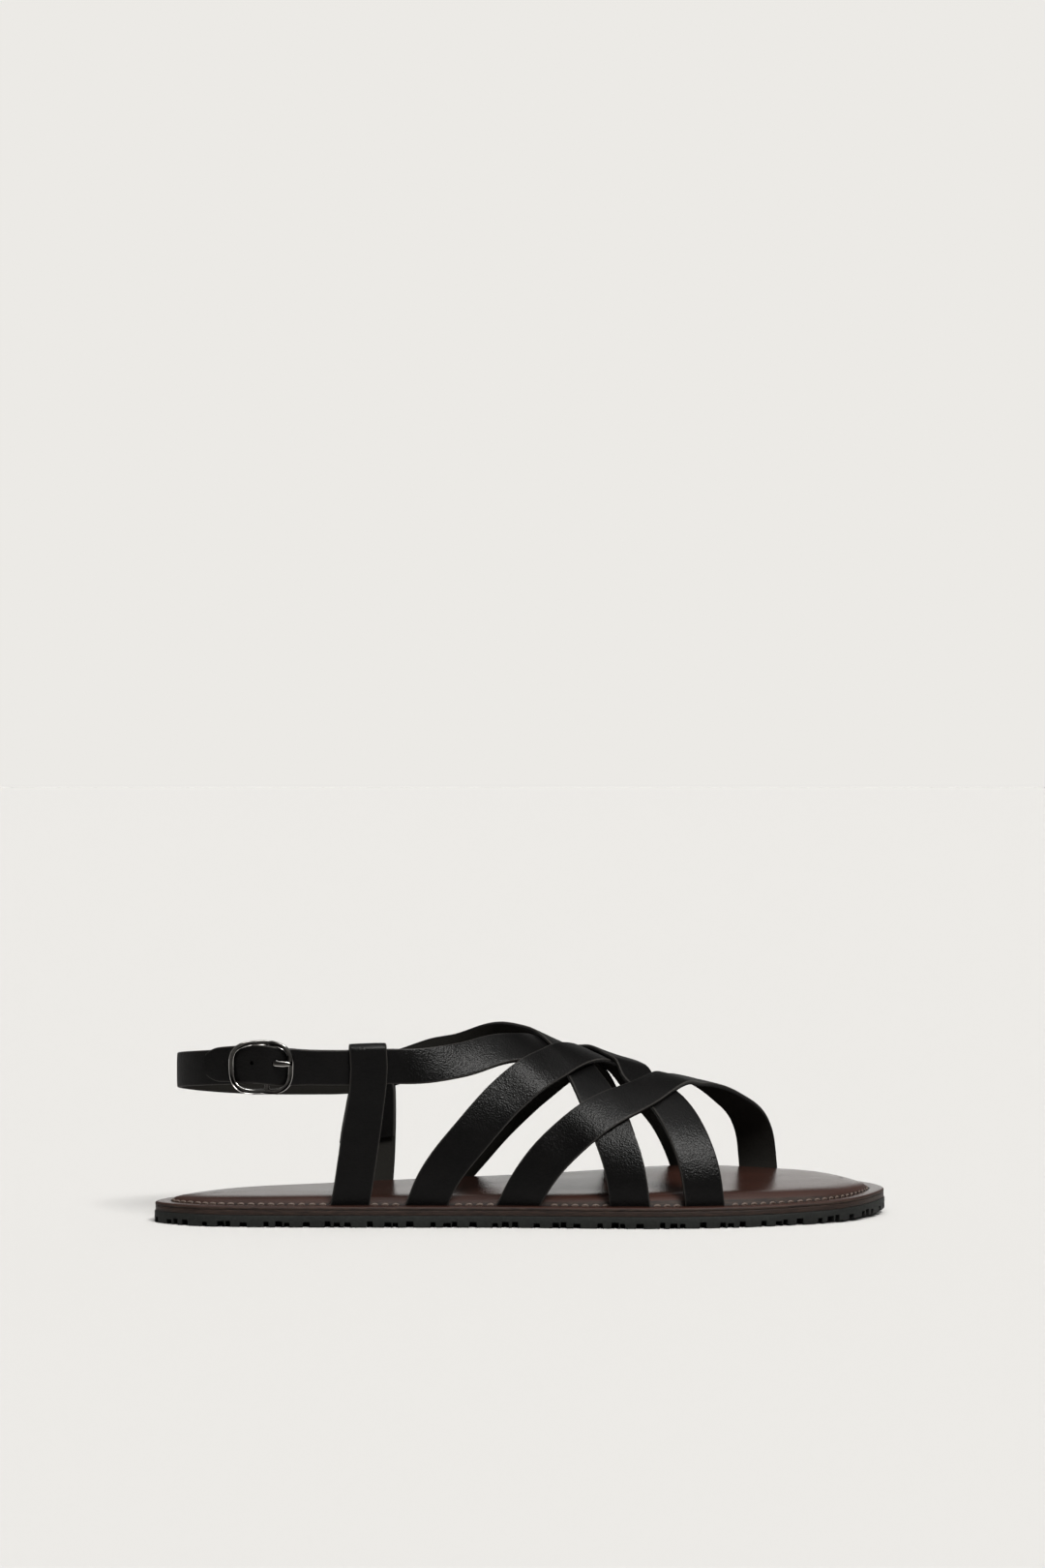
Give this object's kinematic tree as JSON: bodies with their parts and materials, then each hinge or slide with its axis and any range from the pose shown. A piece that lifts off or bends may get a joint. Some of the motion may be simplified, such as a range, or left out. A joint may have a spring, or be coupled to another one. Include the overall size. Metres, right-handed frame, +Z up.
{
  "type": "strappy sandal",
  "caption": "Right flat leather sandal with straps crossed over the instep, a buckled ankle strap held by two side loops, and a padded footbed on a notched rubber sole.",
  "frame": {"origin": "middle of the bounding box at the ground plane, under the sole", "axes": "+X to the toe, +Y to the inner (big toe) side of a right foot, +Z up from the ground"},
  "size_m": [0.2889, 0.1078, 0.0756],
  "materials": {
    "strap_leather": "smooth black leather, fine grain, semi-matte",
    "footbed_leather": "smooth dark brown leather, semi-gloss",
    "edge_leather": "cut and dressed brown leather edge",
    "sole_rubber": "matte moulded rubber",
    "buckle_metal": "dark polished nickel plate"
  },
  "bodies": {
    "root": {"outsole": "sole_rubber", "midsole": "edge_leather", "footbed": "footbed_leather", "upper": "strap_leather", "side_loop_outer": "strap_leather", "side_loop_inner": "strap_leather", "buckle_frame": "buckle_metal", "buckle_prong": "buckle_metal"}
  },
  "joints": []
}
